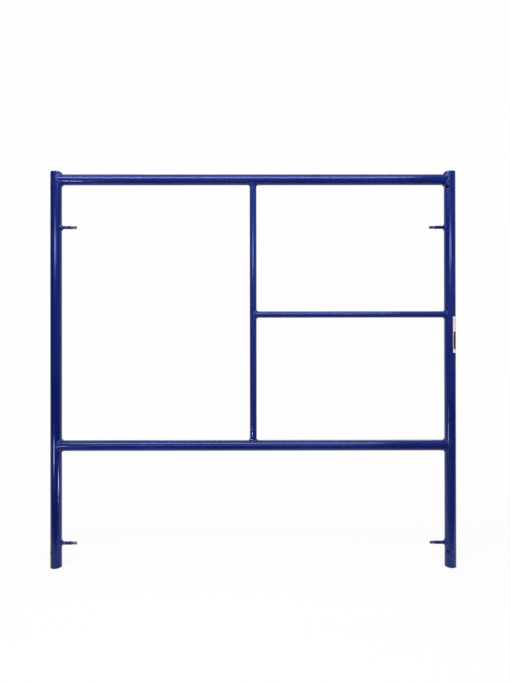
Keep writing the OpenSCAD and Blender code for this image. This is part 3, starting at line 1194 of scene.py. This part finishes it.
def label_finish(label, tubes):
    """Printed vinyl: a pale ground, a plain border and one plain dark panel, a little faded and scratched."""
    finish = new_finish("label_print")
    place = finish.place()
    height = finish.along(place, "Z")
    side = finish.along(place, "X") - tubes.frame_width / 2
    front = 0 - finish.along(place, "Y")
    bearing = side.math("ARCTAN2", side, front)
    first, last = label.from_front
    across = (bearing - first) / (last - first)
    up = (height - label.bottom) / (label.top - label.bottom)
    fade = finish.noise(place, scale=90.0, detail=4.0, roughness=0.6)
    edge = across.rise(label.border_width + 0.01, label.border_width - 0.01)
    panel = across.within(label.panel_across, soft=0.01) * up.within(label.panel_up, soft=0.0025)
    colour = finish.mix(fade * 0.12, label.paper, label.faded_paper)
    colour = finish.mix(edge * (0.85 + fade * 0.2), colour, label.border)
    colour = finish.mix(panel * (0.97 + fade * 0.03), colour, label.panel)
    scratch = scuffs(finish, place)
    colour = finish.mix(scratch * 0.5, colour, label.scratch)
    return finish.surface(
        {
            "Base Color": colour,
            "Roughness": fade * 0.12 + scratch * 0.2 + 0.28,
            "Specular IOR Level": 0.1,
            "Normal": finish.bump(finish.noise(place, scale=300.0, detail=2.0), 0.00002),
        }
    )


def label_skin(label, tubes):
    """A thin curved sheet with rounded corners, just clear of the post's wall, and closed all round."""
    skin = Skin()
    columns = 28
    rows = 60
    post_r = tubes.post_d / 2
    first, last = label.from_front
    width = (last - first) * post_r
    sheets = []
    for radius in (post_r + label.thickness, post_r - label.thickness):
        grid = []
        for i in range(columns + 1):
            across = width * (1 - math.cos(math.pi * i / columns)) / 2
            inset = max(0.0, label.corner - min(across, width - across))
            trim = label.corner - math.sqrt(max(0.0, label.corner**2 - inset**2))
            bearing = first + across / post_r
            strip = []
            for j in range(rows + 1):
                z = blend(label.bottom + trim, label.top - trim, j / rows)
                strip.append(Vector((radius * math.sin(bearing), -radius * math.cos(bearing), z)))
            grid.append(skin.ring(strip))
        sheets.append(grid)
    face, back = sheets
    for i in range(columns):
        for j in range(rows):
            skin.face((face[i][j], face[i + 1][j], face[i + 1][j + 1], face[i][j + 1]))
            skin.face((back[i][j], back[i][j + 1], back[i + 1][j + 1], back[i + 1][j]))
    rims = []
    for grid in sheets:
        rim = [grid[i][0] for i in range(columns)]
        rim += [grid[columns][j] for j in range(rows)]
        rim += [grid[i][rows] for i in range(columns, 0, -1)]
        rim += [grid[0][j] for j in range(rows, 0, -1)]
        rims.append(rim)
    skin.bridge(rims[1], rims[0])
    return skin


class SCAFFOLD_OT_label(bpy.types.Operator):
    """Lays the blank label on the right post"""

    bl_idname = "scaffold.label"
    bl_label = "Label"

    def execute(self, context):
        tubes = context.scene.scaffold_tubes
        label = context.scene.scaffold_label
        placed = Matrix.Translation((tubes.frame_width / 2, 0, 0))
        skin = label_skin(label, tubes)
        skin.piece("right_post_label", [label_finish(label, tubes)], slot=None, placed=placed)
        return {"FINISHED"}


def ray_kinds(finish):
    """Three outputs that are 1 on the camera's rays, on glossy rays and on rays that pass through a piece."""
    kinds = ("Camera", "Glossy", "Transmission")
    return [finish.node("ShaderNodeLightPath", output=f"Is {kind} Ray") for kind in kinds]


def white_paper(stage, name):
    """Matt white paper that camera, glossy and transmitted rays see as mostly plain white.

    In front of the frame, where the photograph's room is dim, glossy rays see it dim as well.
    """
    finish = new_finish(name)
    place = finish.place()
    camera, glossy, through = ray_kinds(finish)
    seen = (camera + glossy + through).rise(0.0, 1.0)
    grain = finish.noise(place, scale=900.0, detail=3.0)
    dark_grain = stage.paper_white - 0.02
    paper = finish.mix(grain, (dark_grain,) * 3, (stage.paper_white,) * 3)
    matt = finish.node("ShaderNodeBsdfDiffuse", None, {"Color": paper})
    white = finish.node("ShaderNodeEmission", None, {"Strength": 1.0})
    dim = finish.node("ShaderNodeEmission", None, {"Strength": stage.room_front})
    depth = finish.along(place, "Y")
    beside = abs(depth).rise(stage.shadow_reach, stage.shadow_core)
    clear = stage.clear_paper + beside * (stage.clear_floor - stage.clear_paper)
    front = depth.rise(-stage.dim_start, -stage.dim_full) * (1 - camera)
    glow = finish.node("ShaderNodeMixShader", None, {0: front, 1: white, 2: dim})
    share = seen * (clear + front * (1 - clear))
    shader = finish.node("ShaderNodeMixShader", None, {0: share, 1: matt, 2: glow})
    finish.node("ShaderNodeOutputMaterial", None, {"Surface": shader})
    return finish.owner


def sweep(stage):
    """The floor and backdrop as one sheet of paper that curves up behind the frame."""
    skin = Skin()
    half_width = 9.0
    front = -9.0
    wall = 4.4
    bend = 1.2
    bend_steps = 16
    floor = -0.0006
    top = 8.0
    profile = [(y, floor) for y in (front, -4.0, 0.0, wall - bend)]
    for k in range(1, bend_steps + 1):
        angle = math.pi / 2 * k / bend_steps
        profile.append((wall - bend + bend * math.sin(angle), floor + bend * (1 - math.cos(angle))))
    profile.append((wall, top))
    lines = [skin.ring([Vector((x, y, z)) for x in (-half_width, half_width)]) for y, z in profile]
    for first, second in zip(lines, lines[1:]):
        skin.bridge(first, second, closed=False)
    mesh = bpy.data.meshes.new("studio_sweep")
    mesh.from_pydata(skin.points, [], skin.faces)
    mesh.polygons.foreach_set("use_smooth", [True] * len(skin.faces))
    mesh.materials.append(white_paper(stage, "sweep_paper"))
    sheet = bpy.data.objects.new("studio_sweep", mesh)
    bpy.context.scene.collection.objects.link(sheet)


def room(stage):
    """The room round the stage: dim in front, brighter behind, and white where the camera sees it.

    Behind the frame, glossy and transmitted rays see it white as well.
    """
    world = bpy.data.worlds.new("studio_room")
    finish = Finish(world)
    direction = finish.node("ShaderNodeTexCoord", output="Generated")
    behind = finish.along(direction, "Y").rise(0.05, 0.5)
    right = finish.along(direction, "X").rise(0.2, 0.9)
    above = finish.along(direction, "Z").rise(0.4, 0.9)
    shade = stage.room_front + behind * (stage.room_back - stage.room_front)
    shade = shade + right * (stage.room_right - stage.room_front) * (1 - behind)
    shade = shade + above * stage.ceiling
    camera, glossy, through = ray_kinds(finish)
    seen = (camera + (glossy + through) * behind).rise(0.0, 1.0)
    brightness = shade + seen * (1 - shade)
    sockets = {"Color": (1.0, 1.0, 1.0, 1.0), "Strength": brightness}
    background = finish.node("ShaderNodeBackground", None, sockets)
    finish.node("ShaderNodeOutputWorld", None, {"Surface": background})
    bpy.context.scene.world = world


def lamp(name, place, target, width, height, brightness, gloss_only=False, spread=math.pi):
    """A flat lamp of a given brightness per area, out of the camera's sight.

    It may show in gloss alone, and a grid on it may keep its light within a narrow spread.
    """
    data = bpy.data.lights.new(name, "AREA")
    data.shape = "RECTANGLE"
    data.size = width
    data.size_y = height
    data.energy = brightness * math.pi * width * height
    data.spread = spread
    made = bpy.data.objects.new(name, data)
    bpy.context.scene.collection.objects.link(made)
    made.location = place
    aim = Vector(target) - Vector(place)
    made.rotation_euler = aim.to_track_quat("-Z", "Y").to_euler()
    made.visible_camera = False
    made.visible_diffuse = not gloss_only


def lamps():
    """Two soft boxes that light the frame, and three cards that only its gloss shows."""
    lamp(
        "bar_softbox",
        place=(-0.23, -1.3, 2.35),
        target=(-0.23, 0.0, 0.9),
        width=2.64,
        height=0.62,
        brightness=10.0,
    )
    lamp(
        "back_softbox",
        place=(0.4, 2.4, 2.9),
        target=(0.0, 0.0, 0.9),
        width=3.0,
        height=0.8,
        brightness=4.0,
    )
    lamp(
        "front_card",
        place=(-0.5, -9.0, 2.9),
        target=(-0.5, 0.0, 1.2),
        width=6.5,
        height=0.67,
        brightness=10.0,
        gloss_only=True,
    )
    lamp(
        "low_card_left",
        place=(-1.44, -1.61, 0.075),
        target=(0.0, 0.0, 0.075),
        width=0.134,
        height=0.15,
        brightness=115.0,
        gloss_only=True,
    )
    lamp(
        "low_card_middle",
        place=(0.2, -0.44, 0.05),
        target=(-0.76, 0.0, 0.3),
        width=0.14,
        height=0.1,
        brightness=3.0,
        gloss_only=True,
        spread=math.radians(40),
    )


class SCAFFOLD_OT_stage(bpy.types.Operator):
    """Sets up the white sweep, the room, the lamps and the camera"""

    bl_idname = "scaffold.stage"
    bl_label = "Stage"

    def execute(self, context):
        stage = context.scene.scaffold_stage
        sweep(stage)
        room(stage)
        lamps()
        data = bpy.data.cameras.new("camera")
        data.lens = stage.lens
        camera = bpy.data.objects.new("camera", data)
        context.scene.collection.objects.link(camera)
        camera.location = stage.camera_place
        camera.rotation_euler = stage.camera_turn
        context.scene.camera = camera
        context.scene.view_settings.view_transform = "Standard"
        return {"FINISHED"}


OPERATORS = (
    SCAFFOLD_OT_posts,
    SCAFFOLD_OT_ledgers,
    SCAFFOLD_OT_struts,
    SCAFFOLD_OT_welds,
    SCAFFOLD_OT_studs,
    SCAFFOLD_OT_locks,
    SCAFFOLD_OT_label,
    SCAFFOLD_OT_stage,
)
GROUPS = {
    "scaffold_tubes": TubeSizes,
    "scaffold_welds": WeldSizes,
    "scaffold_paint": PaintLook,
    "scaffold_metal": MetalLook,
    "scaffold_label": LabelLook,
    "scaffold_stage": StageLook,
}


class SCAFFOLD_PT_looks(bpy.types.Panel):
    """Lists the steps that build the frame's looks and the values that they use"""

    bl_idname = "SCAFFOLD_PT_looks"
    bl_label = "Scaffold frame"
    bl_space_type = "VIEW_3D"
    bl_region_type = "UI"
    bl_category = "Scaffold"

    def draw(self, context):
        for operator in OPERATORS:
            self.layout.operator(operator.bl_idname)
        for name, group in GROUPS.items():
            box = self.layout.box()
            for value in group.__annotations__:
                box.prop(getattr(context.scene, name), value)


def register():
    for group in GROUPS.values():
        bpy.utils.register_class(group)
    for name, group in GROUPS.items():
        setattr(bpy.types.Scene, name, PointerProperty(type=group))
    for operator in OPERATORS:
        bpy.utils.register_class(operator)
    bpy.utils.register_class(SCAFFOLD_PT_looks)


def unregister():
    bpy.utils.unregister_class(SCAFFOLD_PT_looks)
    for operator in reversed(OPERATORS):
        bpy.utils.unregister_class(operator)
    for name, group in GROUPS.items():
        delattr(bpy.types.Scene, name)
        bpy.utils.unregister_class(group)


def main():
    """Builds every piece and the stage."""
    register()
    bpy.ops.scaffold.posts()
    bpy.ops.scaffold.ledgers()
    bpy.ops.scaffold.struts()
    bpy.ops.scaffold.welds()
    bpy.ops.scaffold.studs()
    bpy.ops.scaffold.locks()
    bpy.ops.scaffold.label()
    bpy.ops.scaffold.stage()


if __name__ == "__main__":
    main()
